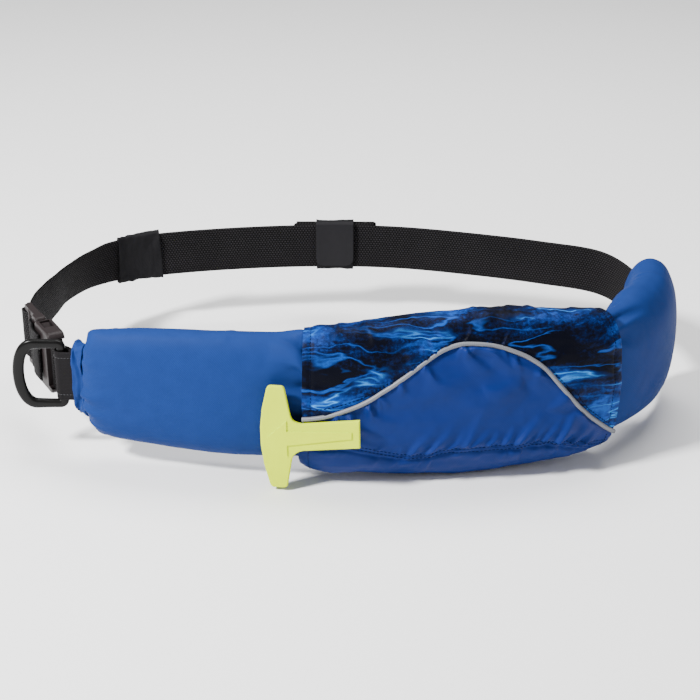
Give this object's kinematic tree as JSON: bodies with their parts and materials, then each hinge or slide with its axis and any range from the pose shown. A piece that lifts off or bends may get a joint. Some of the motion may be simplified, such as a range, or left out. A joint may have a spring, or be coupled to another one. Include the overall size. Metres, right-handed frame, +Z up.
{
  "type": "inflatable belt pack",
  "caption": "Waist belt pack with padded sleeve, covered inflation pouch, T pull handle, webbing belt, side-release buckle and swivelling D-ring.",
  "frame": {"origin": "middle of the wearer's waist, at mid height of the webbing in front", "axes": "+X to the right seen from the front, which is the wearer's left; +Y from the pouch to the wearer's back; +Z up"},
  "size_m": [0.4969, 0.3239, 0.1223],
  "materials": {
    "sleeve_cloth": "plain weave nylon, slightly shiny",
    "cover_print": "printed plain weave",
    "cover_cloth": "plain weave nylon, slightly shiny",
    "reflective_piping": "retroreflective, satin",
    "cell_coat": "coated nylon, satin",
    "handle_plastic": "moulded, satin",
    "webbing": "coarse polyester weave",
    "buckle_plastic": "moulded acetal, satin",
    "ring_plastic": "moulded nylon, satin",
    "keeper_cloth": "soft knit, matt",
    "keeper_coat": "smooth coated, matt"
  },
  "bodies": {
    "pack": {"sleeve": "sleeve_cloth", "sleeve_cuff": "sleeve_cloth", "cover_yoke": "cover_print", "cover_pocket": "cover_cloth", "piping": "reflective_piping", "packed_cell": "cell_coat", "pull_handle": "handle_plastic", "belt": "webbing", "spare_webbing": "webbing", "ring_loop": "webbing", "buckle_male": "buckle_plastic", "buckle_female": "buckle_plastic", "keeper_left": "keeper_cloth", "keeper_centre": "keeper_coat"},
    "ring": {"d_ring": "ring_plastic"}
  },
  "joints": [
    {"name": "d_ring_swivel", "type": "hinge", "parent": "pack", "child": "ring", "pos_m": [-0.20657, -0.10209, 0], "axis": [0, 0, 1], "range_deg": [-20, 75]}
  ]
}
